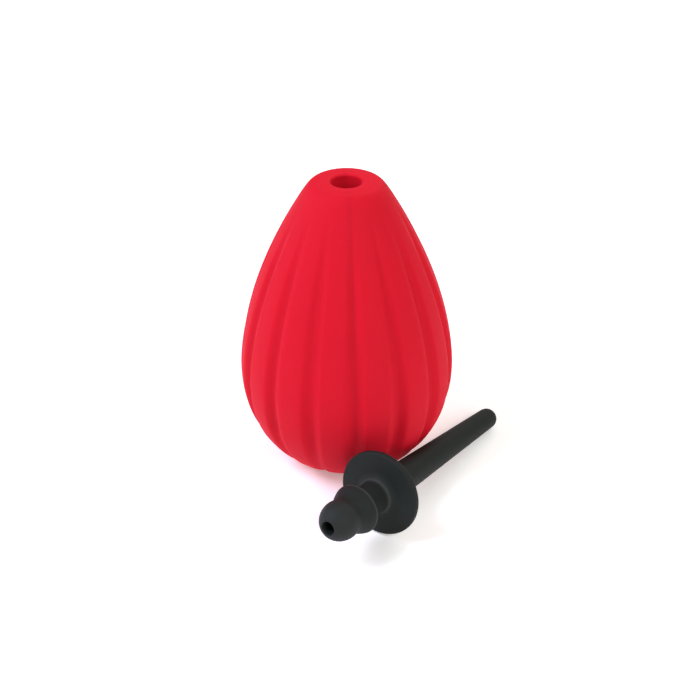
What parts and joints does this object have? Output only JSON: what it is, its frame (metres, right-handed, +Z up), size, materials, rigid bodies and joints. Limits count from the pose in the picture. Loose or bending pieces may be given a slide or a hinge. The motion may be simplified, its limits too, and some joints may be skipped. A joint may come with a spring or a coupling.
{
  "type": "dust blower bulb",
  "caption": "Fluted hand squeeze bulb with a round hole in its crown and a loose barbed plug-in nozzle with a flange and a tapered tube.",
  "frame": {"origin": "centre of the bulb's flat base, on the table", "axes": "+Z up the bulb's axis and out of the hole in its crown; -Y towards the viewer; the two finger walls face +X and -X"},
  "size_m": [0.0875, 0.103, 0.0991],
  "materials": {
    "red_silicone": "soft matte moulded silicone",
    "black_silicone": "soft matte moulded silicone"
  },
  "bodies": {
    "bulb": {"bulb_body": "red_silicone"},
    "left_wall": {"squeeze_wall_left": "red_silicone"},
    "right_wall": {"squeeze_wall_right": "red_silicone"},
    "nozzle": {"nozzle_plug": "black_silicone"},
    "tube": {"nozzle_tube": "black_silicone"}
  },
  "joints": [
    {"name": "squeeze_right", "type": "slide", "parent": "bulb", "child": "right_wall", "axis": [-1, 0, 0], "range_m": [0, 0.014], "stiffness_N_per_m": 800},
    {"name": "squeeze_left", "type": "slide", "parent": "bulb", "child": "left_wall", "axis": [1, 0, 0], "range_m": [0, 0.014]},
    {"name": "nozzle_lift", "type": "slide", "parent": "bulb", "child": "nozzle", "axis": [0.5713, -0.4166, 0.7071], "range_m": [0, 0.12]},
    {"name": "tube_bend", "type": "hinge", "parent": "nozzle", "child": "tube", "pos_m": [0.01433, -0.03899, 0.01269], "axis": [0, 0, -1], "range_deg": [0, 40], "stiffness_Nm_per_rad": 0.03}
  ],
  "couplings": [
    {"joint": "squeeze_left", "follows": "squeeze_right", "ratio": 1}
  ]
}
